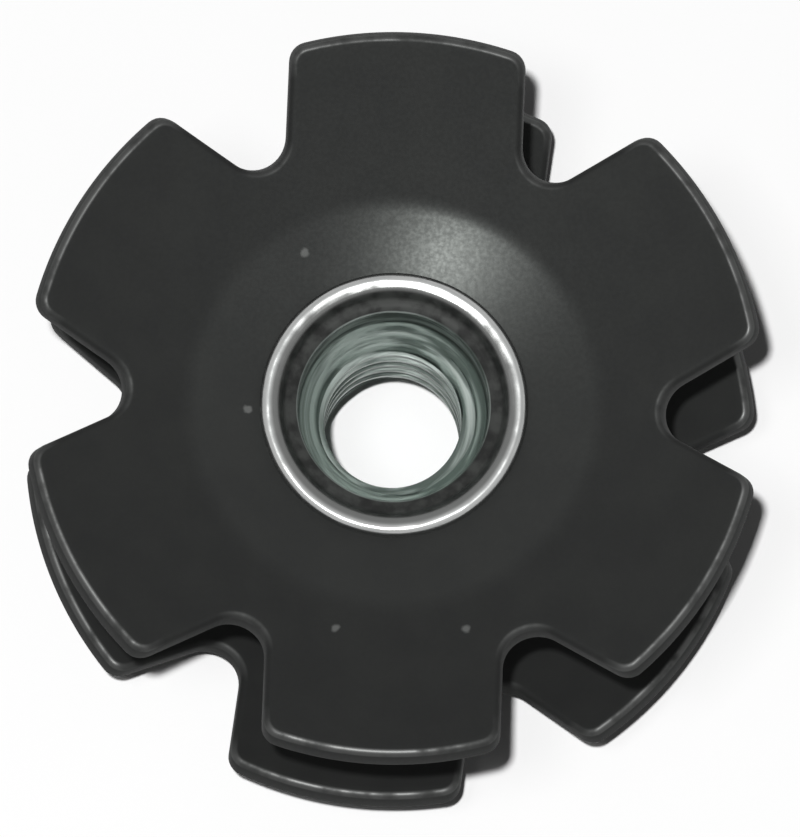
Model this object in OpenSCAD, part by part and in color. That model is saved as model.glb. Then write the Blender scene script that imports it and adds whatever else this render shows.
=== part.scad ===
// Star nut for a 1-1/8 inch steerer tube: two dished spring-steel stars
// riveted on one threaded sleeve. Millimetres, +Z up, standing on the lower lip.

/* [Stars] */
// Diameter over the petal tips
star_od = 26.9; // [25:0.1:29]
// Thickness of the star's sheet
sheet = 0.8; // [0.6:0.05:1.2]
// Diameter of the crease between the hub cone and the dish
crease_d = 14.9; // [12.5:0.1:16]
// Slope of the hub cone, in degrees
hub_angle = 10.5; // [4:0.5:12]
// Slope of the dish where it leaves the crease, in degrees
crease_angle = 17; // [14:0.5:18]
// Slope of the dish at the rim, in degrees
rim_angle = 22; // [20:0.5:28]
// Number of petals
petals = 6; // [5:1:7]
// Width of a petal
petal_w = 8.4; // [6:0.1:8.8]
// Radius at the root of a notch
notch_r = 1.2; // [0.6:0.1:1.5]
// Radius of the petal corners
corner_r = 0.7; // [0.3:0.05:1.2]
// Distance between like points of the two stars
star_pitch = 9.8; // [8:0.1:14]
// Turn of the lower star, clockwise from above, in degrees
lower_turn = 5.75; // [0:0.25:30]

/* [Sleeve] */
// Diameter of the bore at the thread crests
bore_d = 5; // [4.2:0.05:5.2]
// Diameter of the barrel between the stars
barrel_d = 10; // [9.2:0.1:11]
// Diameter of the throat, the smooth wall at each end of the thread
throat_d = 6.9; // [6.2:0.05:7.1]
// Wall of the necks, which pass through the stars, round the throat
neck_wall = 0.55; // [0.4:0.05:0.75]
// Gap all round between a neck and its star
neck_gap = 0.05; // [0:0.01:0.1]
// Width of the ledge round the throat, inside a lip
ledge_w = 0.5; // [0.3:0.05:0.55]
// Flare of the mouth from the ledge to the crest of a lip
mouth_flare = 0.2; // [0.1:0.05:0.3]
// Width of a lip's rim, from the mouth to its outer edge
rim_w = 0.7; // [0.5:0.05:0.9]
// Height of a lip at the neck
lip_h = 0.65; // [0.6:0.05:1]
// Radius of the outer edge of a lip
lip_edge_r = 0.3; // [0.15:0.01:0.33]
// Depth of the flared mouth
mouth_depth = 0.45; // [0.3:0.05:0.5]
// Fall of the ledge towards the bore
ledge_fall = 0.2; // [0.1:0.05:0.3]
// Depth of the straight throat
throat_depth = 1.55; // [0.6:0.05:1.7]

/* [Hidden] */
$fn = 128;

steel_black = [0.19, 0.19, 0.20];
zinc = [0.76, 0.79, 0.79];

// Radii of a sleeve's end, from the throat outwards
throat_r = throat_d / 2;
neck_r = throat_r + neck_wall;
ledge_r = throat_r + ledge_w;
mouth_r = ledge_r + mouth_flare;
lip_r = mouth_r + rim_w;

// Heights on the axis side, measured where the hub cone meets the neck
hub_rise = tan(hub_angle);
hub_t = sheet / cos(hub_angle);
lower_seat_z = lip_h;
upper_seat_z = lower_seat_z + star_pitch;
sleeve_h = upper_seat_z + hub_t + lip_h;

// Depths in from a lip's crest
ledge_end = mouth_depth + ledge_fall;
throat_end = ledge_end + throat_depth;
thread_start = throat_end + (throat_d - bore_d) / 2;

// Dish: a shell between two arcs about one centre, turned round the axis, in the star's own frame,
// where z = 0 is the underside of the hub cone at the neck
crease_r = crease_d / 2;
crease_z = hub_t + (crease_r - neck_r) * hub_rise;
edge_r = star_od / 2 - sheet * sin(rim_angle);
dish_r = (edge_r - crease_r) / (sin(rim_angle) - sin(crease_angle));
dish_x = crease_r - dish_r * sin(crease_angle);
dish_z = crease_z + dish_r * cos(crease_angle);

// Notch, drawn in the plane that touches the dish half way along it
half_turn = 180 / petals;
notch_mid_r = (star_od / 2 + petal_w / 2 / sin(half_turn)) / 2;
notch_tilt = asin((notch_mid_r - dish_x) / dish_r);
notch_half = atan(tan(half_turn) * cos(notch_tilt));
root_plan_r = (petal_w / 2 / cos(half_turn) + notch_r / cos(notch_half)) / tan(half_turn);
root_x = (root_plan_r - notch_mid_r) / cos(notch_tilt);
tip_turn = half_turn - asin(petal_w / 2 / edge_r);
tip_x = (edge_r * cos(tip_turn) - dish_x) * cos(notch_tilt) - dish_r * cos(rim_angle) * sin(notch_tilt);
tip_normal = atan(tan(tip_turn) * cos(notch_tilt));
cut_over = 3 * sheet;
// Root and corner circles stand this far past their tangents, so that they meet the sides at an edge
blend = 0.03;

function along(angle) = [cos(angle), sin(angle)];
function flip(p) = [p[0], -p[1]];
function reverse(list) = [for (i = [len(list) - 1 : -1 : 0]) list[i]];

// Height of a hub cone face at radius r, given its height at the neck
function cone_z(r, z) = z + (r - neck_r) * hub_rise;

// Half section of a dished star: hub cone, crease and dish with a square-cut rim
module star_section() {
    hole_r = neck_r + neck_gap;
    rim_slope = tan(rim_angle);
    rim_r = ((dish_z + neck_r * hub_rise) * rim_slope + dish_x) / (1 + hub_rise * rim_slope);
    difference() {
        intersection() {
            translate([dish_x, dish_z]) circle(r = dish_r + sheet);
            polygon([
                [hole_r, cone_z(hole_r, 0)],
                [rim_r, cone_z(rim_r, 0)],
                [hole_r, dish_z - (hole_r - dish_x) / rim_slope]
            ]);
        }
        intersection() {
            translate([dish_x, dish_z]) circle(r = dish_r);
            polygon([
                [0, cone_z(0, hub_t)],
                [dish_r, cone_z(dish_r, hub_t)],
                [dish_r, dish_z],
                [0, dish_z]
            ]);
        }
    }
}

// Outline of a notch: round root, straight sides, and a flare that rounds the petal corners
module notch_outline() {
    side = along(notch_half);
    inward = along(notch_half + 90);
    rim = along(tip_normal);
    lean = notch_half - tip_normal;
    root = [root_x, 0] + notch_r * inward;
    tip = root + side * (tip_x - root[0]) / cos(notch_half);
    corner_start = tip - side * corner_r * (1 - sin(lean)) / cos(lean);
    corner = corner_start + inward * corner_r;
    corner_end = corner + rim * corner_r;
    outside = corner_end + rim * cut_over;
    upper_half = [outside, corner_end, corner, corner_start, root];
    lower_half = [for (p = reverse(upper_half)) flip(p)];
    translate([root_x, 0]) circle(r = notch_r + blend);
    difference() {
        polygon(concat(upper_half, lower_half));
        for (p = [corner, flip(corner)]) translate(p) circle(r = corner_r + blend);
    }
}

// One star, with a petal towards +Y
module star() {
    difference() {
        rotate_extrude() star_section();
        for (i = [0 : petals - 1])
            rotate([0, 0, 90 + half_turn * (2 * i + 1)])
                translate([dish_x, 0, dish_z])
                    rotate([0, -notch_tilt, 0])
                        translate([0, 0, -dish_r - cut_over])
                            linear_extrude(height = 2 * cut_over) notch_outline();
    }
}

// Centre of the rounding on a lip's outer edge; up is 1 at the upper end, -1 at the lower
function lip_edge(crest, up) = [lip_r - lip_edge_r, crest - up * lip_edge_r];

// Points of one end of the sleeve, from its seat on a star round the lip and down to the thread
function end_points(seat, crest, up) =
    let (edge = lip_edge(crest, up))
    [
        [neck_r, seat],
        [lip_r, cone_z(lip_r, seat)],
        [lip_r, edge[1]],
        edge,
        [edge[0], crest],
        [mouth_r, crest],
        [ledge_r, crest - up * mouth_depth],
        [throat_r, crest - up * ledge_end],
        [throat_r, crest - up * throat_end],
        [bore_d / 2, crest - up * thread_start]
    ];

// Quarter round on a lip's outer edge, sunk a little into the section
module lip_round(crest, up) {
    sunk = lip_edge_r / 4;
    translate(lip_edge(crest, up))
        intersection() {
            circle(r = lip_edge_r);
            translate([-sunk, up > 0 ? -sunk : -lip_edge_r]) square(lip_edge_r + sunk);
        }
}

// Half section of the sleeve: barrel with two shoulders, necks, flared lips, ledges, throats and bore
module sleeve_section() {
    barrel_r = barrel_d / 2;
    lower_end = end_points(lower_seat_z, 0, -1);
    upper_end = end_points(upper_seat_z + hub_t, sleeve_h, 1);
    barrel = [
        [neck_r, lower_seat_z + hub_t],
        [barrel_r, cone_z(barrel_r, lower_seat_z + hub_t)],
        [barrel_r, cone_z(barrel_r, upper_seat_z)],
        [neck_r, upper_seat_z]
    ];
    polygon(concat(reverse(lower_end), barrel, upper_end));
    lip_round(0, -1);
    lip_round(sleeve_h, 1);
}

module upper_star() {
    color(steel_black) translate([0, 0, upper_seat_z]) star();
}

module lower_star() {
    color(steel_black) translate([0, 0, lower_seat_z]) rotate([0, 0, -lower_turn]) star();
}

module threaded_sleeve() {
    color(zinc) rotate_extrude() sleeve_section();
}

upper_star();
lower_star();
threaded_sleeve();
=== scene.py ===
"""Looks of a star nut: two dished black spring-steel stars riveted on one zinc-plated threaded sleeve."""

import logging
import math
from dataclasses import dataclass
from enum import Enum

import bmesh
import bpy
from mathutils import Matrix, Quaternion, Vector


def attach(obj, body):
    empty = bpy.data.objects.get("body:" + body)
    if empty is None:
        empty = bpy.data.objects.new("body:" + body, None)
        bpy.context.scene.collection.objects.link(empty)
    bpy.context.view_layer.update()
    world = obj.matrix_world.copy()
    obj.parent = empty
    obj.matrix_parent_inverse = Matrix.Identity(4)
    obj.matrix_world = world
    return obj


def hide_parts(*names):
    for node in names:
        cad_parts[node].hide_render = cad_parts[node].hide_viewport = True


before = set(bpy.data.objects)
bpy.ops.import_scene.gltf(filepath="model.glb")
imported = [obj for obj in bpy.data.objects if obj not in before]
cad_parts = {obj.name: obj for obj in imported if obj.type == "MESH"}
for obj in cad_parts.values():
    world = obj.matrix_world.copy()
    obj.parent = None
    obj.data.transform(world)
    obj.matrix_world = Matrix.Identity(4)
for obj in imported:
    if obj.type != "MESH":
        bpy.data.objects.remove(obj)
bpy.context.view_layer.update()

Colour = tuple[float, float, float, float]
Point = tuple[float, float, float]
Range = tuple[float, float]
Socket = bpy.types.NodeSocket
Source = Socket | Colour | float

LOG = logging.getLogger("star_nut")
MM = 0.001
UP = Vector((0.0, 0.0, 1.0))
SIDEWAYS = Vector((0.0, 1.0, 0.0))
ORIGIN = Vector((0.0, 0.0, 0.0))
ALL_AXES = Vector((1.0, 1.0, 1.0))
PLAN_AXES = Vector((1.0, 1.0, 0.0))
WHITE: Colour = (1.0, 1.0, 1.0, 1.0)
RISE: Range = (0.0, 1.0)
FALL: Range = (1.0, 0.0)
IMAGE_WIDTH = 800
IMAGE_HEIGHT = 837
# Distances in millimetres at which points are one, and at which a point lies on a circle
WELD = 0.0005
TOUCH = 0.001
# Faces that meet at less than this many degrees are shaded as one surface
SMOOTH_ANGLE = 34.0


class Slot(Enum):
    """Material slots of the record."""

    STAR_STEEL = "star_steel"
    SLEEVE_ZINC = "sleeve_zinc"


class Place(Enum):
    """Which of the two stars a pressing is, by the node it stands for."""

    UPPER = "upper_star"
    LOWER = "lower_star"


class Layer(Enum):
    """Names of the vertex attributes that the finishes read."""

    # Edge scuffing of the stars, which also carries their painted highlight lines and notch-root glints
    EDGE_WEAR_AND_HIGHLIGHT = "edge_wear_and_highlight"


@dataclass(frozen=True)
class Pattern:
    """A noise pattern, by its cells to a millimetre and its number of finer octaves."""

    scale: float
    detail: float


@dataclass(frozen=True)
class Relief:
    """A bump, by its share of the effect and the depth in millimetres that a height of 1 stands for."""

    strength: float
    depth_mm: float


@dataclass
class NodeGraph:
    """Node tree of a material or a world, with short calls for the nodes that they share."""

    owner: bpy.types.Material | bpy.types.World

    def __post_init__(self) -> None:
        """Gives the owner an empty tree."""
        self.owner.use_nodes = True
        self.tree = self.owner.node_tree
        self.tree.nodes.clear()

    def node(self, kind: str, **settings: object) -> bpy.types.Node:
        """Adds a node.

        Args:
            kind: identifier of the node type.
            settings: values for the node's own properties.

        Returns:
            The new node.
        """
        made = self.tree.nodes.new(kind)
        for key, value in settings.items():
            setattr(made, key, value)
        return made

    def join(self, source: Source, target: Socket) -> None:
        """Links a socket to an input, or writes a plain value into it.

        Args:
            source: an output socket, a number or a colour.
            target: the input that takes it.
        """
        if isinstance(source, Socket):
            self.tree.links.new(source, target)
        else:
            target.default_value = source

    def place_mm(self, stretch: Vector = ALL_AXES) -> Socket:
        """Gives the object coordinates in millimetres.

        Args:
            stretch: factor on each axis.

        Returns:
            A vector socket.
        """
        coordinates = self.node("ShaderNodeTexCoord")
        mapping = self.node("ShaderNodeMapping")
        mapping.inputs["Scale"].default_value = stretch / MM
        self.join(coordinates.outputs["Object"], mapping.inputs["Vector"])
        return mapping.outputs["Vector"]

    def radius_mm(self) -> Socket:
        """Gives the distance from the nut's axis in millimetres."""
        length = self.node("ShaderNodeVectorMath", operation="LENGTH")
        self.join(self.place_mm(PLAN_AXES), length.inputs[0])
        return length.outputs["Value"]

    def plan_distance_mm(self, point_mm: Point) -> Socket:
        """Gives the distance from a point seen from above, in millimetres.

        Args:
            point_mm: the point, with a height of 0.

        Returns:
            A value socket.
        """
        distance = self.node("ShaderNodeVectorMath", operation="DISTANCE")
        self.join(self.place_mm(PLAN_AXES), distance.inputs[0])
        distance.inputs[1].default_value = point_mm
        return distance.outputs["Value"]

    def turned_place(self, spread: float) -> Socket:
        """Gives coordinates that hardly change along the cut of a lathe tool.

        Args:
            spread: how much the direction round the axis counts.

        Returns:
            A vector socket of radius, height and a little of the direction.
        """
        place = self.node("ShaderNodeSeparateXYZ")
        self.join(self.place_mm(), place.inputs["Vector"])
        around = self.calc("MULTIPLY", place.outputs["X"], spread)
        packed = self.node("ShaderNodeCombineXYZ")
        self.join(self.radius_mm(), packed.inputs["X"])
        self.join(around, packed.inputs["Y"])
        self.join(place.outputs["Z"], packed.inputs["Z"])
        return packed.outputs["Vector"]

    def calc(self, operation: str, first: Source, second: Source) -> Socket:
        """Joins two values by a sum, product or other operation.

        Args:
            operation: name of the operation.
            first: first value or socket.
            second: second value or socket.

        Returns:
            The result's socket.
        """
        made = self.node("ShaderNodeMath", operation=operation)
        self.join(first, made.inputs[0])
        self.join(second, made.inputs[1])
        return made.outputs["Value"]

    def noise(self, vector: Socket, pattern: Pattern) -> Socket:
        """Adds a noise pattern.

        Args:
            vector: coordinates in millimetres.
            pattern: its scale and detail.

        Returns:
            A value socket of about 0 to 1.
        """
        made = self.node("ShaderNodeTexNoise")
        self.join(vector, made.inputs["Vector"])
        made.inputs["Scale"].default_value = pattern.scale
        made.inputs["Detail"].default_value = pattern.detail
        return made.outputs["Fac"]

    def span(self, value: Source, source: Range, target: Range = RISE) -> Socket:
        """Maps one range of a value onto another with soft ends.

        Args:
            value: the value's socket.
            source: start and end of the range that is read.
            target: what the start and the end become.

        Returns:
            The mapped value.
        """
        made = self.node("ShaderNodeMapRange", interpolation_type="SMOOTHSTEP")
        self.join(value, made.inputs["Value"])
        made.inputs["From Min"].default_value = source[0]
        made.inputs["From Max"].default_value = source[1]
        made.inputs["To Min"].default_value = target[0]
        made.inputs["To Max"].default_value = target[1]
        return made.outputs["Result"]

    def mix(self, share: Source, first: Source, second: Source) -> Socket:
        """Blends two values.

        Args:
            share: how much of the second there is.
            first: value or socket at 0.
            second: value or socket at 1.

        Returns:
            The blended value.
        """
        made = self.node("ShaderNodeMix", data_type="FLOAT")
        self.join(share, made.inputs[0])
        self.join(first, made.inputs[2])
        self.join(second, made.inputs[3])
        return made.outputs[0]

    def tint(self, share: Source, first: Source, second: Source) -> Socket:
        """Blends two colours.

        Args:
            share: how much of the second there is.
            first: colour or socket at 0.
            second: colour or socket at 1.

        Returns:
            The blended colour.
        """
        made = self.node("ShaderNodeMix", data_type="RGBA")
        self.join(share, made.inputs[0])
        self.join(first, made.inputs[6])
        self.join(second, made.inputs[7])
        return made.outputs[2]

    def blend_shaders(self, share: Socket, first: Socket, second: Socket) -> Socket:
        """Blends two shaders.

        Args:
            share: how much of the second there is.
            first: shader at 0.
            second: shader at 1.

        Returns:
            The blended shader.
        """
        made = self.node("ShaderNodeMixShader")
        for index, source in enumerate((share, first, second)):
            self.join(source, made.inputs[index])
        return made.outputs["Shader"]

    def bump(self, height: Socket, relief: Relief, under: Socket | None = None) -> Socket:
        """Turns a height pattern into a surface direction.

        Args:
            height: the pattern.
            relief: its strength and depth.
            under: a coarser bump that this one lies on.

        Returns:
            A normal socket.
        """
        made = self.node("ShaderNodeBump")
        made.inputs["Strength"].default_value = relief.strength
        made.inputs["Distance"].default_value = relief.depth_mm * MM
        self.join(height, made.inputs["Height"])
        if under is not None:
            self.join(under, made.inputs["Normal"])
        return made.outputs["Normal"]

    def attribute(self, layer: Layer) -> Socket:
        """Reads a vertex attribute as a value."""
        return self.node("ShaderNodeAttribute", attribute_name=layer.value).outputs["Fac"]

    def seen_share(self) -> Socket:
        """Tells whether a ray comes from the camera, a reflection or a clear piece.

        Returns:
            A socket that is 1 for such a ray.
        """
        path = self.node("ShaderNodeLightPath")
        share = path.outputs["Is Camera Ray"]
        for other in ("Is Glossy Ray", "Is Transmission Ray"):
            share = self.calc("MAXIMUM", share, path.outputs[other])
        return share


@dataclass
class FinishGraph(NodeGraph):
    """Node tree of a piece's finish, which ends in one shader."""

    def __post_init__(self) -> None:
        """Adds the shader and the output to the empty tree."""
        super().__post_init__()
        output = self.node("ShaderNodeOutputMaterial")
        self.shader = self.node("ShaderNodeBsdfPrincipled")
        self.join(self.shader.outputs["BSDF"], output.inputs["Surface"])

    def feed(self, name: str, source: Source) -> None:
        """Gives an input of the shader a pattern or a plain value."""
        self.join(source, self.shader.inputs[name])


@dataclass(frozen=True)
class BlackCoat:
    """Thin black coat on a spring-steel pressing, burnished on the hub, scuffed along its rim edges and
    notch roots, where a lighter part-metal colour also stands for painted highlight lines.
    """

    coat: Colour = (0.009, 0.009, 0.0092, 1.0)
    faded: Colour = (0.0115, 0.0116, 0.0115, 1.0)
    # Lighter colour on the rims and notch roots: edge scuffing, and painted highlight lines and glints
    rubbed_and_highlit: Colour = (0.065, 0.066, 0.065, 1.0)
    fleck: Colour = (0.09, 0.092, 0.09, 1.0)
    sheen: Colour = (0.94, 1.0, 0.95, 1.0)
    gloss: float = 0.2
    dish_roughness: float = 0.68
    hub_roughness: float = 0.62
    burnished_roughness: float = 0.33
    edge_roughness: float = 0.42
    grain_roughness: Range = (-0.03, 0.03)
    # Metal share on those edges, which also makes the painted highlight shine
    bared_and_highlit_share: float = 0.85
    crease_mm: Range = (7.0, 7.75)
    burnish_place_mm: Point = (2.1, 5.3, 0.0)
    burnish_reach_mm: float = 6.0
    fleck_places_mm: tuple[Point, ...] = (
        (-1.77, -8.36, 0.0), (2.92, -8.21, 0.0), (-3.45, 5.45, 0.0), (-5.26, -0.36, 0.0))
    fleck_mm: Range = (0.06, 0.2)
    fleck_ragged_mm: Range = (-0.035, 0.035)
    mottle: Pattern = Pattern(0.55, 4.0)
    mottle_range: Range = (0.3, 0.7)
    grain: Pattern = Pattern(7.0, 4.0)
    grain_range: Range = (0.25, 0.75)
    rubbing: Pattern = Pattern(1.2, 4.0)
    rubbing_range: Range = (0.3, 0.6)
    rubbing_share: Range = (0.35, 1.0)
    ragged: Pattern = Pattern(4.0, 1.0)
    ragged_range: Range = (0.3, 0.7)
    waves: Relief = Relief(0.2, 0.05)
    pores: Relief = Relief(0.04, 0.012)

    def material(self) -> bpy.types.Material:
        """Builds the node material.

        Returns:
            The finished material.
        """
        graph = FinishGraph(bpy.data.materials.new("black_coat"))
        place = graph.place_mm()
        mottle = graph.noise(place, self.mottle)
        grain = graph.noise(place, self.grain)
        patches = graph.span(graph.noise(place, self.rubbing), self.rubbing_range, self.rubbing_share)
        # Mask of the lighter rim colour: edge scuffing and painted highlight, broken up by noise patches
        wear_and_highlight = graph.calc("MULTIPLY", graph.attribute(Layer.EDGE_WEAR_AND_HIGHLIGHT), patches)
        colour = graph.tint(graph.span(mottle, self.mottle_range), self.coat, self.faded)
        worn_and_highlit = graph.tint(wear_and_highlight, colour, self.rubbed_and_highlit)
        graph.feed("Base Color", graph.tint(self.flecks(graph), worn_and_highlit, self.fleck))
        uneven = graph.span(grain, self.grain_range, self.grain_roughness)
        face = graph.calc("ADD", self.face_roughness(graph), uneven)
        graph.feed("Roughness", graph.mix(wear_and_highlight, face, self.edge_roughness))
        waves = graph.bump(mottle, self.waves)
        graph.feed("Normal", graph.bump(grain, self.pores, waves))
        graph.feed("Metallic", graph.calc("MULTIPLY", wear_and_highlight, self.bared_and_highlit_share))
        graph.feed("Specular IOR Level", self.gloss)
        graph.feed("Specular Tint", self.sheen)
        return graph.owner

    def face_roughness(self, graph: FinishGraph) -> Socket:
        """Gives the roughness of the face: burnished on one side of the hub, matt on the dish.

        Args:
            graph: the finish's node tree.

        Returns:
            A roughness socket.
        """
        burnish = graph.span(graph.plan_distance_mm(self.burnish_place_mm), (0.0, self.burnish_reach_mm),
                             (self.burnished_roughness, self.hub_roughness))
        outside = graph.span(graph.radius_mm(), self.crease_mm)
        return graph.mix(outside, burnish, self.dish_roughness)

    def flecks(self, graph: FinishGraph) -> Socket:
        """Gives the small chips in the coat.

        Args:
            graph: the finish's node tree.

        Returns:
            A socket that is 1 on a chip.
        """
        chips: Source = 0.0
        noise = graph.noise(graph.place_mm(), self.ragged)
        ragged = graph.span(noise, self.ragged_range, self.fleck_ragged_mm)
        for point in self.fleck_places_mm:
            distance = graph.calc("ADD", ragged, graph.plan_distance_mm(point))
            chips = graph.calc("MAXIMUM", chips, graph.span(distance, self.fleck_mm, FALL))
        return chips


@dataclass(frozen=True)
class ZincPlate:
    """Bright zinc plate over a turned sleeve, darker on the lip's land and near-black in the mouth, and
    green-grey in the bore.
    """

    bright: Colour = (0.42, 0.425, 0.42, 1.0)
    dulled: Colour = (0.35, 0.358, 0.354, 1.0)
    # Darker colour of the lip's land, and near-black colours of the band inside each mouth
    land: Colour = (0.15, 0.153, 0.15, 1.0)
    dark_mouth: Colour = (0.014, 0.0145, 0.014, 1.0)
    dark_mouth_thin: Colour = (0.04, 0.042, 0.04, 1.0)
    bore: Colour = (0.42, 0.47, 0.445, 1.0)
    bore_marks: Colour = (0.125, 0.15, 0.138, 1.0)
    gloss: float = 0.2
    lip_roughness: float = 0.22
    bore_roughness: float = 0.42
    barrel_roughness: float = 0.4
    spot_roughness: Range = (-0.03, 0.05)
    dark_mouth_metal: float = 0.2
    bore_mm: Range = (3.44, 3.54)
    mouth_mm: Range = (4.12, 4.24)
    land_mm: Range = (4.35, 4.55)
    barrel_mm: Range = (4.89, 4.97)
    spots: Pattern = Pattern(1.7, 5.0)
    spots_range: Range = (0.3, 0.7)
    dark_mouth_range: Range = (0.35, 0.65)
    pits: Pattern = Pattern(8.0, 3.0)
    dents: Pattern = Pattern(0.9, 1.0)
    tool_marks: Pattern = Pattern(11.0, 3.0)
    tool_spread: float = 0.05
    rings: Pattern = Pattern(2.8, 3.0)
    ring_spread: float = 0.16
    marks_range: Range = (0.38, 0.62)
    tool_share: float = 0.65
    cut: Relief = Relief(0.2, 0.012)
    grooves: Relief = Relief(0.6, 0.08)
    blows: Relief = Relief(0.3, 0.16)
    pores: Relief = Relief(0.1, 0.01)

    def material(self) -> bpy.types.Material:
        """Builds the node material.

        Returns:
            The finished material.
        """
        graph = FinishGraph(bpy.data.materials.new("zinc_plate"))
        place = graph.place_mm()
        radius = graph.radius_mm()
        inside = graph.span(radius, self.bore_mm, FALL)
        mouth = graph.span(radius, self.mouth_mm, FALL)
        land = graph.span(radius, self.land_mm, FALL)
        barrel = graph.span(radius, self.barrel_mm)
        spots = graph.noise(place, self.spots)
        tool_marks = graph.noise(graph.turned_place(self.tool_spread), self.tool_marks)
        rings = graph.noise(graph.turned_place(self.ring_spread), self.rings)

        streaks = graph.mix(self.tool_share, spots, tool_marks)
        plate = graph.tint(graph.span(streaks, self.marks_range), self.bright, self.dulled)
        # The band inside each mouth is made near-black, and the land darker than the plate
        dark_mouth = graph.tint(graph.span(spots, self.dark_mouth_range), self.dark_mouth, self.dark_mouth_thin)
        darkened = graph.tint(mouth, graph.tint(land, plate, self.land), dark_mouth)
        turned = graph.tint(graph.span(rings, self.marks_range), self.bore_marks, self.bore)
        graph.feed("Base Color", graph.tint(inside, darkened, turned))

        outside = graph.mix(barrel, self.lip_roughness, self.barrel_roughness)
        uneven = graph.span(spots, self.spots_range, self.spot_roughness)
        graph.feed("Roughness", graph.calc("ADD", uneven, graph.mix(mouth, outside, self.bore_roughness)))

        cut = graph.bump(tool_marks, self.cut)
        grooved = graph.bump(graph.calc("MULTIPLY", rings, inside), self.grooves, cut)
        lip = graph.calc("SUBTRACT", 1.0, graph.calc("ADD", barrel, inside))
        dents = graph.calc("SUBTRACT", graph.noise(place, self.dents), 0.5)
        riveted = graph.bump(graph.calc("MULTIPLY", lip, dents), self.blows, grooved)
        graph.feed("Normal", graph.bump(graph.noise(place, self.pits), self.pores, riveted))

        # Less metal in the near-black mouth band
        mouth_band = graph.calc("SUBTRACT", mouth, inside)
        graph.feed("Metallic", graph.span(mouth_band, RISE, (1.0, self.dark_mouth_metal)))
        graph.feed("Specular IOR Level", self.gloss)
        return graph.owner


@dataclass
class Tracer:
    """Draws one line of edges, a straight run or an arc at a time."""

    mesh: bmesh.types.BMesh
    tip: bmesh.types.BMVert

    def straight(self, point: Vector, cuts: int = 0) -> None:
        """Runs a straight edge to a point.

        Args:
            point: where it ends.
            cuts: points put between its ends.
        """
        stride = (point - self.tip.co) / (cuts + 1)
        for _ in range(cuts + 1):
            self.tip = bmesh.ops.extrude_vert_indiv(self.mesh, verts=[self.tip])["verts"][0]
            bmesh.ops.translate(self.mesh, vec=stride, verts=[self.tip])

    def arc(self, centre: Vector, axis: Vector, degrees: float, steps: int) -> None:
        """Turns the line about a centre.

        Args:
            centre: middle of the arc.
            axis: direction that it turns about.
            degrees: how far it turns.
            steps: number of edges.
        """
        made = bmesh.ops.spin(self.mesh, geom=[self.tip], cent=centre, axis=axis,
                              angle=math.radians(degrees), steps=steps)
        self.tip = next(v for v in made["geom_last"] if isinstance(v, bmesh.types.BMVert))


def plan_radius(vert: bmesh.types.BMVert) -> float:
    """Gives a vertex's distance from the nut's axis."""
    return math.hypot(vert.co.x, vert.co.y)


def edge_round(mesh: bmesh.types.BMesh, edges: list[bmesh.types.BMEdge], size: float,
               segments: int) -> list[bmesh.types.BMVert]:
    """Rounds edges.

    Args:
        mesh: the mesh that they are in.
        edges: edges to round.
        size: width of the rounding on each side.
        segments: faces across the rounding.

    Returns:
        The vertices within the rounding, without those along its two sides.
    """
    made = bmesh.ops.bevel(mesh, geom=edges, offset=size, offset_type="OFFSET", affect="EDGES",
                           segments=segments, profile=0.5, material=-1, clamp_overlap=True)
    rounding = set(made["faces"])
    return [v for v in made["verts"] if rounding.issuperset(v.link_faces)]


def finished_piece(mesh: bmesh.types.BMesh, name: str, place: Matrix) -> bpy.types.Object:
    """Makes an object of a mesh drawn in millimetres, with its place in its vertices.

    Args:
        mesh: the drawn mesh, which is freed.
        name: the piece's name.
        place: turn and shift into the nut's frame, in millimetres.

    Returns:
        The linked object, at the origin.
    """
    bmesh.ops.remove_doubles(mesh, verts=mesh.verts[:], dist=WELD)
    bmesh.ops.recalc_face_normals(mesh, faces=mesh.faces[:])
    open_edges = sum(not edge.is_manifold for edge in mesh.edges)
    if open_edges:
        LOG.warning("%s has %d open edges", name, open_edges)
    bmesh.ops.transform(mesh, matrix=Matrix.Scale(MM, 4) @ place, verts=mesh.verts[:])
    data = bpy.data.meshes.new(name)
    mesh.to_mesh(data)
    mesh.free()
    data.shade_smooth()
    data.set_sharp_from_angle(angle=math.radians(SMOOTH_ANGLE))
    piece = bpy.data.objects.new(name, data)
    bpy.context.scene.collection.objects.link(piece)
    return piece


@dataclass(frozen=True)
class NutSizes:
    """Sizes that the stars and the sleeve share, in millimetres and degrees."""

    sheet: float = 0.8
    hub_angle: float = 10.5
    neck_r: float = 4.0
    lip_h: float = 0.65
    star_pitch: float = 9.8
    lower_turn: float = 5.75

    @property
    def hub_rise(self) -> float:
        """Rise of the hub cone over each millimetre outwards."""
        return math.tan(math.radians(self.hub_angle))

    @property
    def hub_t(self) -> float:
        """Upright thickness of the sheet on the hub cone."""
        return self.sheet / math.cos(math.radians(self.hub_angle))

    @property
    def lower_seat(self) -> float:
        """Height of the lower star's underside at the neck."""
        return self.lip_h

    @property
    def upper_seat(self) -> float:
        """Height of the upper star's underside at the neck."""
        return self.lower_seat + self.star_pitch

    @property
    def height(self) -> float:
        """Height of the sleeve."""
        return self.upper_seat + self.hub_t + self.lip_h


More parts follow.
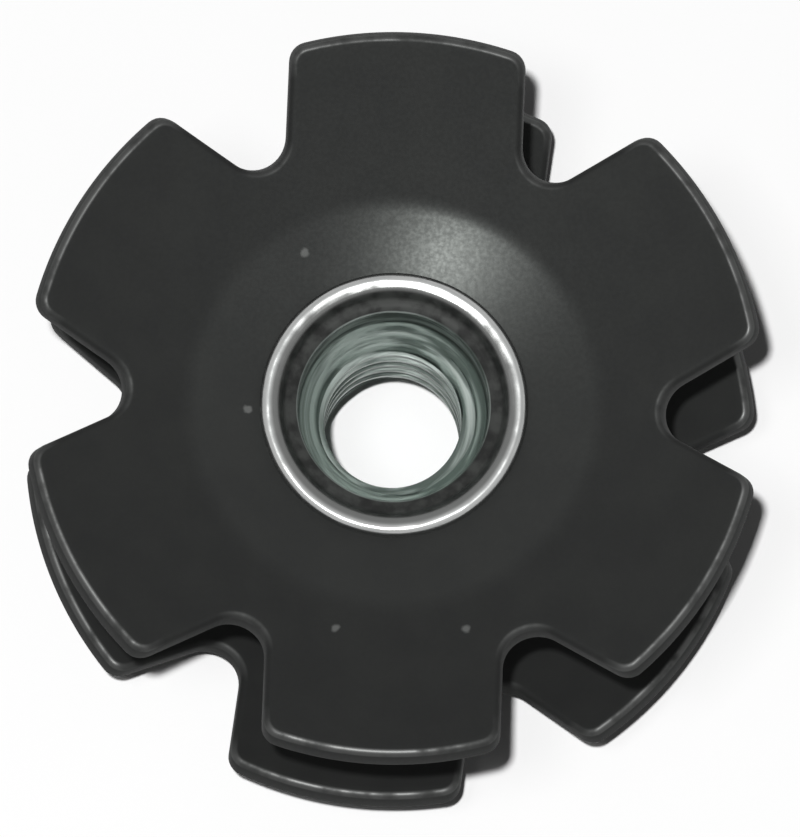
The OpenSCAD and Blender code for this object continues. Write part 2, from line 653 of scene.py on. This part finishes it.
@dataclass
class DishedStar:
    """One pressed star: a flat six-petalled blank, dished in a die so that its petals rise.

    Lengths are in millimetres and angles in degrees.
    """

    nut: NutSizes
    place: Place
    seat_z: float
    turn: float
    star_od: float = 26.9
    crease_r: float = 7.45
    crease_angle: float = 17.0
    rim_angle: float = 22.0
    hole_r: float = 4.05
    petals: int = 6
    petal_w: float = 8.4
    notch_r: float = 1.2
    corner_r: float = 0.7
    bend: float = 0.34
    rim_strip: float = 0.42
    sharp_angle: float = 45.0
    face_edge: float = 0.24
    face_edge_segments: int = 5
    under_edge: float = 0.1
    under_edge_segments: int = 2
    # Where the lighter edge colour goes, for scuffing and painted highlight: rims and notch roots, not the
    # petals' sides
    highlit_worn_rim_r: float = 12.35
    highlit_worn_root_r: float = 10.2
    wear_and_highlight_ramp: float = 0.6
    root_wear_and_highlight: float = 0.5
    rim_steps: int = 14
    corner_steps: int = 6
    side_cuts: int = 4
    root_steps: int = 8
    dish_cuts: int = 9
    hub_cuts: int = 5
    copy_weld: float = 0.002

    @property
    def crease_z(self) -> float:
        """Height of the face at the crease."""
        return self.nut.hub_t + (self.crease_r - self.nut.neck_r) * self.nut.hub_rise

    @property
    def face_rim_r(self) -> float:
        """Radius of the face's rim, which is square to the dish."""
        return self.star_od / 2 - self.nut.sheet * math.sin(math.radians(self.rim_angle))

    @property
    def dish_r(self) -> float:
        """Radius of the arc that the dish's face is turned from."""
        reach = math.sin(math.radians(self.rim_angle)) - math.sin(math.radians(self.crease_angle))
        return (self.face_rim_r - self.crease_r) / reach

    @property
    def dish_x(self) -> float:
        """Distance of the arc's centre from the axis, on the far side of it."""
        return self.crease_r - self.dish_r * math.sin(math.radians(self.crease_angle))

    @property
    def dish_z(self) -> float:
        """Height of the arc's centre."""
        return self.crease_z + self.dish_r * math.cos(math.radians(self.crease_angle))

    def slope(self, radius: float) -> float:
        """Gives the face's slope.

        Args:
            radius: distance from the axis.

        Returns:
            The slope in radians; on the crease, half way between the hub's and the dish's.
        """
        hub = math.radians(self.nut.hub_angle)
        dish = math.asin((radius - self.dish_x) / self.dish_r)
        if abs(radius - self.crease_r) < TOUCH:
            return (hub + dish) / 2
        return hub if radius < self.crease_r else dish

    def face_z(self, radius: float) -> float:
        """Gives the face's height at a distance from the axis.

        Args:
            radius: distance from the axis.

        Returns:
            The height above the seat.
        """
        if radius < self.crease_r:
            return self.crease_z - (self.crease_r - radius) * self.nut.hub_rise
        return self.dish_z - math.sqrt(self.dish_r**2 - (radius - self.dish_x) ** 2)

    def edge_wear_and_highlight(self, radius: float) -> float:
        """Tells how much edge scuffing and painted highlight the face's edge takes at a distance from the
        axis.

        Args:
            radius: distance from the axis.

        Returns:
            1 along the rims, less at the roots of the notches, 0 along the petals' sides.
        """
        rim = (radius - self.highlit_worn_rim_r) / self.wear_and_highlight_ramp
        root = (self.highlit_worn_root_r - radius) / self.wear_and_highlight_ramp
        return max(0.0, min(1.0, rim), min(1.0, root) * self.root_wear_and_highlight)

    def outline(self, mesh: bmesh.types.BMesh) -> list[bmesh.types.BMEdge]:
        """Draws the blank's outline: half a petal, mirrored and repeated round the axis.

        Args:
            mesh: an empty mesh.

        Returns:
            The edges of the closed outline.
        """
        half_w = self.petal_w / 2
        corner_y = half_w - self.corner_r
        corner_x = math.sqrt((self.face_rim_r - self.corner_r) ** 2 - corner_y**2)
        rim_turn = math.degrees(math.atan2(corner_y, corner_x))
        half_turn = 180.0 / self.petals
        notch_axis = math.radians(half_turn)
        notch_at = (half_w + self.notch_r) / math.sin(notch_axis)
        notch = Vector((math.cos(notch_axis), math.sin(notch_axis), 0.0)) * notch_at
        line = Tracer(mesh, mesh.verts.new((self.face_rim_r, 0.0, 0.0)))
        line.arc(ORIGIN, UP, rim_turn, self.rim_steps)
        line.arc(Vector((corner_x, corner_y, 0.0)), UP, 90.0 - rim_turn, self.corner_steps)
        line.straight(Vector((notch.x, half_w, 0.0)), self.side_cuts)
        line.arc(notch, UP, half_turn - 90.0, self.root_steps)
        bmesh.ops.mirror(mesh, geom=mesh.verts[:] + mesh.edges[:], matrix=Matrix.Identity(4),
                         merge_dist=self.copy_weld, axis="Y")
        bmesh.ops.spin(mesh, geom=mesh.verts[:] + mesh.edges[:], cent=ORIGIN, axis=UP, use_duplicate=True,
                       angle=math.tau * (self.petals - 1) / self.petals, steps=self.petals - 1)
        bmesh.ops.remove_doubles(mesh, verts=mesh.verts[:], dist=self.copy_weld)
        return mesh.edges[:]

    def ring(self, mesh: bmesh.types.BMesh, loop: list[bmesh.types.BMEdge], radius: float,
             cuts: int = 0) -> list[bmesh.types.BMEdge]:
        """Carries the blank inwards from a loop to a circle.

        Args:
            mesh: the blank.
            loop: the closed loop that it starts from.
            radius: radius of the circle.
            cuts: rings put between the two.

        Returns:
            The edges of the circle.
        """
        made = bmesh.ops.extrude_edge_only(mesh, edges=loop)["geom"]
        circle = {v for v in made if isinstance(v, bmesh.types.BMVert)}
        for vert in circle:
            vert.co *= radius / plan_radius(vert)
        edges = [e for e in made if isinstance(e, bmesh.types.BMEdge) and circle.issuperset(e.verts)]
        spokes = [e for v in circle for e in v.link_edges if e.other_vert(v) not in circle]
        if cuts:
            bmesh.ops.subdivide_edges(mesh, edges=spokes, cuts=cuts, use_grid_fill=True)
        return edges

    def blank(self, mesh: bmesh.types.BMesh) -> None:
        """Cuts the flat blank, with a strip along its outline and rings that the die will bend.

        Args:
            mesh: an empty mesh.
        """
        face = bmesh.ops.contextual_create(mesh, geom=self.outline(mesh))["faces"][0]
        bmesh.ops.inset_region(mesh, faces=[face], thickness=self.rim_strip, use_even_offset=True,
                               use_boundary=True)
        loop = list(face.edges)
        bmesh.ops.delete(mesh, geom=[face], context="FACES_ONLY")
        loop = self.ring(mesh, loop, self.crease_r + self.bend, self.dish_cuts)
        loop = self.ring(mesh, loop, self.crease_r)
        loop = self.ring(mesh, loop, self.crease_r - self.bend)
        self.ring(mesh, loop, self.hole_r, self.hub_cuts)

    def press(self, mesh: bmesh.types.BMesh) -> None:
        """Dishes the blank, gives it the sheet's thickness, square to the face, and rounds its edges.

        Args:
            mesh: the flat blank.
        """
        for vert in mesh.verts:
            vert.co.z = self.face_z(plan_radius(vert))
        made = bmesh.ops.extrude_face_region(mesh, geom=mesh.faces[:])["geom"]
        below = {v for v in made if isinstance(v, bmesh.types.BMVert)}
        for vert in below:
            radius = plan_radius(vert)
            slope = self.slope(radius)
            outward = Vector((vert.co.x, vert.co.y, 0.0)) / radius
            vert.co += (outward * math.sin(slope) - UP * math.cos(slope)) * self.nut.sheet
        bmesh.ops.recalc_face_normals(mesh, faces=mesh.faces[:])
        outer = [e for e in mesh.edges if plan_radius(e.verts[0]) > self.crease_r]
        sharp = [e for e in outer if e.calc_face_angle(0.0) > math.radians(self.sharp_angle)]
        face_edges = [e for e in sharp if below.isdisjoint(e.verts)]
        under_edges = [e for e in sharp if below.issuperset(e.verts)]
        edge_round(mesh, under_edges, self.under_edge, self.under_edge_segments)
        # The attribute takes the mask of edge scuffing and painted highlight
        wear_and_highlight = mesh.verts.layers.float.new(Layer.EDGE_WEAR_AND_HIGHLIGHT.value)
        for vert in edge_round(mesh, face_edges, self.face_edge, self.face_edge_segments):
            vert[wear_and_highlight] = self.edge_wear_and_highlight(plan_radius(vert))

    def build(self) -> bpy.types.Object:
        """Makes the star's mesh in its place on the sleeve, with a petal towards +Y before its turn.

        Returns:
            The star.
        """
        mesh = bmesh.new()
        self.blank(mesh)
        self.press(mesh)
        turned = Matrix.Rotation(math.radians(90.0 + self.turn), 4, "Z")
        seated = Matrix.Translation(UP * self.seat_z) @ turned
        return finished_piece(mesh, self.place.value + "_pressing", seated)

    def dress(self, finish: bpy.types.Material) -> bpy.types.Object:
        """Builds the star, coats it and sets it on the nut.

        Args:
            finish: the coat.

        Returns:
            The finished piece.
        """
        piece = self.build()
        piece.data.materials.append(finish)
        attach(piece, "root")
        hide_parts(self.place.value)
        return piece


@dataclass
class ThreadedSleeve:
    """The turned sleeve: barrel, two necks riveted over into lips, flared mouths and an M6 thread.

    Lengths are in millimetres and angles in degrees, and depths are measured from a lip's crest.
    """

    nut: NutSizes
    barrel_r: float = 5.0
    barrel_round: float = 0.15
    barrel_cuts: int = 6
    lip_r: float = 4.85
    lip_edge_r: float = 0.3
    lip_edge_steps: int = 8
    land_slope: float = 9.0
    mouth_r: float = 4.15
    mouth_depth: float = 0.45
    mouth_round: float = 0.15
    ledge_r: float = 3.95
    ledge_end: float = 0.65
    ledge_round: float = 0.08
    throat_r: float = 3.45
    throat_end: float = 2.2
    throat_round: float = 0.12
    throat_cuts: int = 2
    round_segments: int = 3
    sharp_angle: float = 17.0
    steps: int = 128
    crest_r: float = 2.5
    root_r: float = 3.0
    pitch: float = 1.0
    crest_flat: float = 0.28
    root_flat: float = 0.143
    flank_cuts: int = 3
    thread_steps: int = 64
    # Pitches that the sweep starts below the lower seam, and by which it outruns the threaded length
    run_in: float = 1.1
    run_on: float = 1.2
    turn_weld: float = 0.003
    # Radius on the lead-in cones at which the thread is trimmed, and the strip that joins it to them
    seam_r: float = 3.04
    seam_gap: float = 0.06

    @property
    def thread_end(self) -> float:
        """Depth from a lip's crest at which the lead-in cone meets the thread's crests."""
        return self.throat_end + self.throat_r - self.crest_r

    def cone_depth(self, radius: float) -> float:
        """Gives the depth from a lip's crest at which the lead-in cone has a radius."""
        return self.thread_end - (radius - self.crest_r)

    def cone_r(self, z: float) -> float:
        """Gives the radius that the two lead-in cones clear at a height."""
        depth = min(z, self.nut.height - z)
        return self.crest_r + max(0.0, self.thread_end - depth)

    def seat_z(self, radius: float, seat: float) -> float:
        """Gives the height of a face that lies along a star's hub cone."""
        return seat + (radius - self.nut.neck_r) * self.nut.hub_rise

    def section(self, mesh: bmesh.types.BMesh) -> None:
        """Draws the section from the upper end of the thread round the outside to the lower end.

        Args:
            mesh: an empty mesh.
        """
        def at(radius: float, z: float) -> Vector:
            """Gives a point of the section."""
            return Vector((radius, 0.0, z))

        top = self.nut.height
        start_r = self.seam_r + self.seam_gap
        start_depth = self.cone_depth(start_r)
        edge_x = self.lip_r - self.lip_edge_r
        edge_turn = 90.0 + self.land_slope
        lean = math.radians(self.land_slope)
        land_r = edge_x - self.lip_edge_r * math.sin(lean)
        land_fall = self.lip_edge_r * (1 - math.cos(lean))
        mouth_fall = land_fall + (land_r - self.mouth_r) * math.tan(lean)
        neck_r = self.nut.neck_r
        upper_seat = self.nut.upper_seat
        upper_face = upper_seat + self.nut.hub_t
        lower_seat = self.nut.lower_seat
        lower_face = lower_seat + self.nut.hub_t
        line = Tracer(mesh, mesh.verts.new(at(start_r, top - start_depth)))
        line.straight(at(self.throat_r, top - self.throat_end))
        line.straight(at(self.throat_r, top - self.ledge_end), self.throat_cuts)
        line.straight(at(self.ledge_r, top - self.mouth_depth), 1)
        line.straight(at(self.mouth_r, top - mouth_fall), 1)
        line.straight(at(land_r, top - land_fall))
        line.arc(at(edge_x, top - self.lip_edge_r), SIDEWAYS, edge_turn, self.lip_edge_steps)
        line.straight(at(self.lip_r, self.seat_z(self.lip_r, upper_face)))
        line.straight(at(neck_r, upper_face))
        line.straight(at(neck_r, upper_seat))
        line.straight(at(self.barrel_r, self.seat_z(self.barrel_r, upper_seat)))
        line.straight(at(self.barrel_r, self.seat_z(self.barrel_r, lower_face)), self.barrel_cuts)
        line.straight(at(neck_r, lower_face))
        line.straight(at(neck_r, lower_seat))
        line.straight(at(self.lip_r, self.seat_z(self.lip_r, lower_seat)))
        line.straight(at(self.lip_r, self.lip_edge_r))
        line.arc(at(edge_x, self.lip_edge_r), SIDEWAYS, edge_turn, self.lip_edge_steps)
        line.straight(at(self.mouth_r, mouth_fall))
        line.straight(at(self.ledge_r, self.mouth_depth), 1)
        line.straight(at(self.throat_r, self.ledge_end), 1)
        line.straight(at(self.throat_r, self.throat_end), self.throat_cuts)
        line.straight(at(start_r, start_depth))

    def lathe(self, mesh: bmesh.types.BMesh) -> None:
        """Turns everything but the thread, with a loop left open at each end of the thread.

        Args:
            mesh: an empty mesh.
        """
        self.section(mesh)
        bmesh.ops.spin(mesh, geom=mesh.verts[:] + mesh.edges[:], cent=ORIGIN, axis=UP, angle=math.tau,
                       steps=self.steps, use_merge=True)
        bmesh.ops.recalc_face_normals(mesh, faces=mesh.faces[:])
        roundings = (
            (self.mouth_r, self.mouth_round),
            (self.ledge_r, self.ledge_round),
            (self.throat_r, self.throat_round),
            (self.barrel_r, self.barrel_round),
        )
        for radius, size in roundings:
            sharp = [e for e in mesh.edges if e.calc_face_angle(0.0) > math.radians(self.sharp_angle)]
            turned = [e for e in sharp if all(abs(plan_radius(v) - radius) < TOUCH for v in e.verts)]
            edge_round(mesh, turned, size, self.round_segments)

    def sweep(self, mesh: bmesh.types.BMesh) -> list[bmesh.types.BMVert]:
        """Sweeps one pitch of the right-hand thread's section up a helix, past both of its ends.

        Args:
            mesh: the sleeve's mesh, which it is added to.

        Returns:
            The vertices of the thread.
        """
        old = set(mesh.verts)
        seam_depth = self.cone_depth(self.seam_r)
        start = seam_depth - self.run_in * self.pitch
        turns = math.ceil((self.nut.height - 2 * seam_depth) / self.pitch + self.run_on)
        flank = (self.pitch - self.crest_flat - self.root_flat) / 2
        line = Tracer(mesh, mesh.verts.new((self.crest_r, 0.0, start)))
        line.straight(Vector((self.crest_r, 0.0, start + self.crest_flat)), 1)
        line.straight(Vector((self.root_r, 0.0, start + self.crest_flat + flank)), self.flank_cuts)
        line.straight(Vector((self.root_r, 0.0, start + self.pitch - flank)), 1)
        line.straight(Vector((self.crest_r, 0.0, start + self.pitch)), self.flank_cuts)
        section = [v for v in mesh.verts if v not in old]
        edges = list({e for v in section for e in v.link_edges})
        bmesh.ops.spin(mesh, geom=section + edges, cent=ORIGIN, axis=UP, angle=math.tau * turns,
                       dvec=UP * self.pitch / self.thread_steps, steps=self.thread_steps * turns)
        swept = [v for v in mesh.verts if v not in old]
        bmesh.ops.remove_doubles(mesh, verts=swept, dist=self.turn_weld)
        return [v for v in mesh.verts if v not in old]

    def thread(self, mesh: bmesh.types.BMesh) -> None:
        """Cuts the thread: the swept ridges, cleared by the lead-in cones and trimmed at both seams.

        Args:
            mesh: the sleeve's mesh, which it is added to.
        """
        old = set(mesh.verts)
        for vert in self.sweep(mesh):
            radius = plan_radius(vert)
            grown = max(radius, self.cone_r(vert.co.z)) / radius
            vert.co.x *= grown
            vert.co.y *= grown
        seam_depth = self.cone_depth(self.seam_r)
        for height, away in ((seam_depth, -UP), (self.nut.height - seam_depth, UP)):
            new = [v for v in mesh.verts if v not in old]
            edges = list({e for v in new for e in v.link_edges})
            faces = list({f for v in new for f in v.link_faces})
            bmesh.ops.bisect_plane(mesh, geom=new + edges + faces, dist=WELD, plane_co=UP * height,
                                   plane_no=away, clear_outer=True)

    def build(self) -> bpy.types.Object:
        """Makes the sleeve's mesh and closes the seams between the cones and the thread.

        Returns:
            The sleeve.
        """
        mesh = bmesh.new()
        self.lathe(mesh)
        self.thread(mesh)
        middle = self.nut.height / 2
        for upper in (True, False):
            seam = [e for e in mesh.edges if e.is_boundary and (e.verts[0].co.z > middle) == upper]
            bmesh.ops.bridge_loops(mesh, edges=seam)
        return finished_piece(mesh, "threaded_sleeve_turning", Matrix.Identity(4))

    def dress(self, finish: bpy.types.Material) -> bpy.types.Object:
        """Builds the sleeve, plates it and sets it in the nut.

        Args:
            finish: the plating.

        Returns:
            The finished piece.
        """
        piece = self.build()
        piece.data.materials.append(finish)
        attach(piece, "root")
        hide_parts("threaded_sleeve")
        return piece


@dataclass
class PhotoCamera:
    """The photograph's viewpoint, in degrees, millimetres and pixels."""

    azimuth: float = -1.7
    elevation: float = 79.5
    roll: float = 4.0
    distance: float = 500.0
    pixels_per_mm: float = 27.38
    target_z: float = 6.0
    target_px: tuple[float, float] = (391.8, 432.9)
    sensor: float = 36.0
    clip_mm: Range = (10.0, 10000.0)

    def build(self) -> bpy.types.Object:
        """Makes the camera and sets it as the scene's.

        Returns:
            The camera.
        """
        azimuth = math.radians(self.azimuth)
        rise = math.radians(self.elevation)
        level_back = Vector((math.sin(azimuth), -math.cos(azimuth), 0.0))
        back = level_back * math.cos(rise) + UP * math.sin(rise)
        turn = (-back).to_track_quat("-Z", "Y") @ Quaternion(UP, math.radians(self.roll))
        right = turn @ Vector((1.0, 0.0, 0.0))
        above = turn @ Vector((0.0, 1.0, 0.0))
        aside = (IMAGE_WIDTH / 2 - self.target_px[0]) / self.pixels_per_mm
        higher = (self.target_px[1] - IMAGE_HEIGHT / 2) / self.pixels_per_mm
        aim = UP * self.target_z + right * aside + above * higher
        data = bpy.data.cameras.new("photo_camera")
        data.sensor_width = self.sensor
        data.lens = self.sensor * self.pixels_per_mm * self.distance / max(IMAGE_WIDTH, IMAGE_HEIGHT)
        data.clip_start = self.clip_mm[0] * MM
        data.clip_end = self.clip_mm[1] * MM
        camera = bpy.data.objects.new("photo_camera", data)
        camera.rotation_mode = "QUATERNION"
        camera.rotation_quaternion = turn
        camera.location = (aim + back * self.distance) * MM
        bpy.context.scene.collection.objects.link(camera)
        bpy.context.scene.camera = camera
        return camera


@dataclass(frozen=True)
class Lamp:
    """One square lamp, by where it hangs seen from the nut, its side and its power."""

    name: str
    direction: Point
    size_mm: float
    watts: float

    def hang(self, distance_mm: float) -> None:
        """Hangs the lamp so that it faces the nut.

        Args:
            distance_mm: how far from the nut it hangs.
        """
        data = bpy.data.lights.new(self.name, "AREA")
        data.shape = "SQUARE"
        data.size = self.size_mm * MM
        data.energy = self.watts
        light = bpy.data.objects.new(self.name, data)
        towards = Vector(self.direction).normalized()
        light.location = towards * distance_mm * MM
        light.rotation_mode = "QUATERNION"
        light.rotation_quaternion = (-towards).to_track_quat("-Z", "Y")
        bpy.context.scene.collection.objects.link(light)


@dataclass
class Studio:
    """White floor, white surroundings and the lamps."""

    floor_half_mm: float = 1500.0
    floor_grey: Colour = (0.94, 0.94, 0.94, 1.0)
    glow_mm: Range = (40.0, 200.0)
    world_light: float = 0.05
    seen_light: float = 1.0
    lamp_distance_mm: float = 600.0
    lamps: tuple[Lamp, ...] = (
        Lamp("front_lamp", (-0.044, -0.130, 0.99), 14.0, 3.3),
        Lamp("left_lamp", (-0.172, -0.13, 0.976), 90.0, 0.31),
    )

    def surroundings(self) -> None:
        """Makes the world: plain light on the object, white where it is seen."""
        graph = NodeGraph(bpy.data.worlds.new("studio_white"))
        plain, seen = graph.node("ShaderNodeBackground"), graph.node("ShaderNodeBackground")
        for light, strength in ((plain, self.world_light), (seen, self.seen_light)):
            graph.join(WHITE, light.inputs["Color"])
            graph.join(strength, light.inputs["Strength"])
        mixed = graph.blend_shaders(graph.seen_share(), plain.outputs[0], seen.outputs[0])
        graph.join(mixed, graph.node("ShaderNodeOutputWorld").inputs["Surface"])
        bpy.context.scene.world = graph.owner

    def paper(self) -> bpy.types.Material:
        """Makes the floor's finish: matt white that takes the shadow, fading into the white surroundings.

        Returns:
            The finished material.
        """
        graph = NodeGraph(bpy.data.materials.new("floor_white"))
        matt = graph.node("ShaderNodeBsdfDiffuse")
        graph.join(self.floor_grey, matt.inputs["Color"])
        glow = graph.node("ShaderNodeEmission")
        graph.join(WHITE, glow.inputs["Color"])
        graph.join(self.seen_light, glow.inputs["Strength"])
        share = graph.calc("MULTIPLY", graph.seen_share(), graph.span(graph.radius_mm(), self.glow_mm))
        mixed = graph.blend_shaders(share, matt.outputs[0], glow.outputs[0])
        graph.join(mixed, graph.node("ShaderNodeOutputMaterial").inputs["Surface"])
        return graph.owner

    def floor(self) -> bpy.types.Object:
        """Makes the floor.

        Returns:
            The floor.
        """
        mesh = bmesh.new()
        bmesh.ops.create_grid(mesh, x_segments=2, y_segments=2, size=self.floor_half_mm * MM)
        data = bpy.data.meshes.new("floor")
        mesh.to_mesh(data)
        mesh.free()
        data.materials.append(self.paper())
        piece = bpy.data.objects.new("floor", data)
        bpy.context.scene.collection.objects.link(piece)
        return piece

    def build(self) -> None:
        """Makes the floor, the surroundings and the lamps."""
        self.floor()
        self.surroundings()
        for lamp in self.lamps:
            lamp.hang(self.lamp_distance_mm)


def main() -> None:
    """Builds the nut, its camera and its studio, and reports each piece."""
    logging.basicConfig(level=logging.INFO, format="%(name)s: %(message)s")
    bpy.context.scene.view_settings.view_transform = "Standard"
    black = BlackCoat().material()
    zinc = ZincPlate().material()
    nut = NutSizes()
    pieces = [
        DishedStar(nut, Place.UPPER, seat_z=nut.upper_seat, turn=0.0).dress(black),
        DishedStar(nut, Place.LOWER, seat_z=nut.lower_seat, turn=-nut.lower_turn).dress(black),
        ThreadedSleeve(nut).dress(zinc),
    ]
    for piece in pieces:
        LOG.info("%s: %d vertices, %d faces", piece.name, len(piece.data.vertices), len(piece.data.polygons))
    PhotoCamera().build()
    Studio().build()


if __name__ == "__main__":
    main()
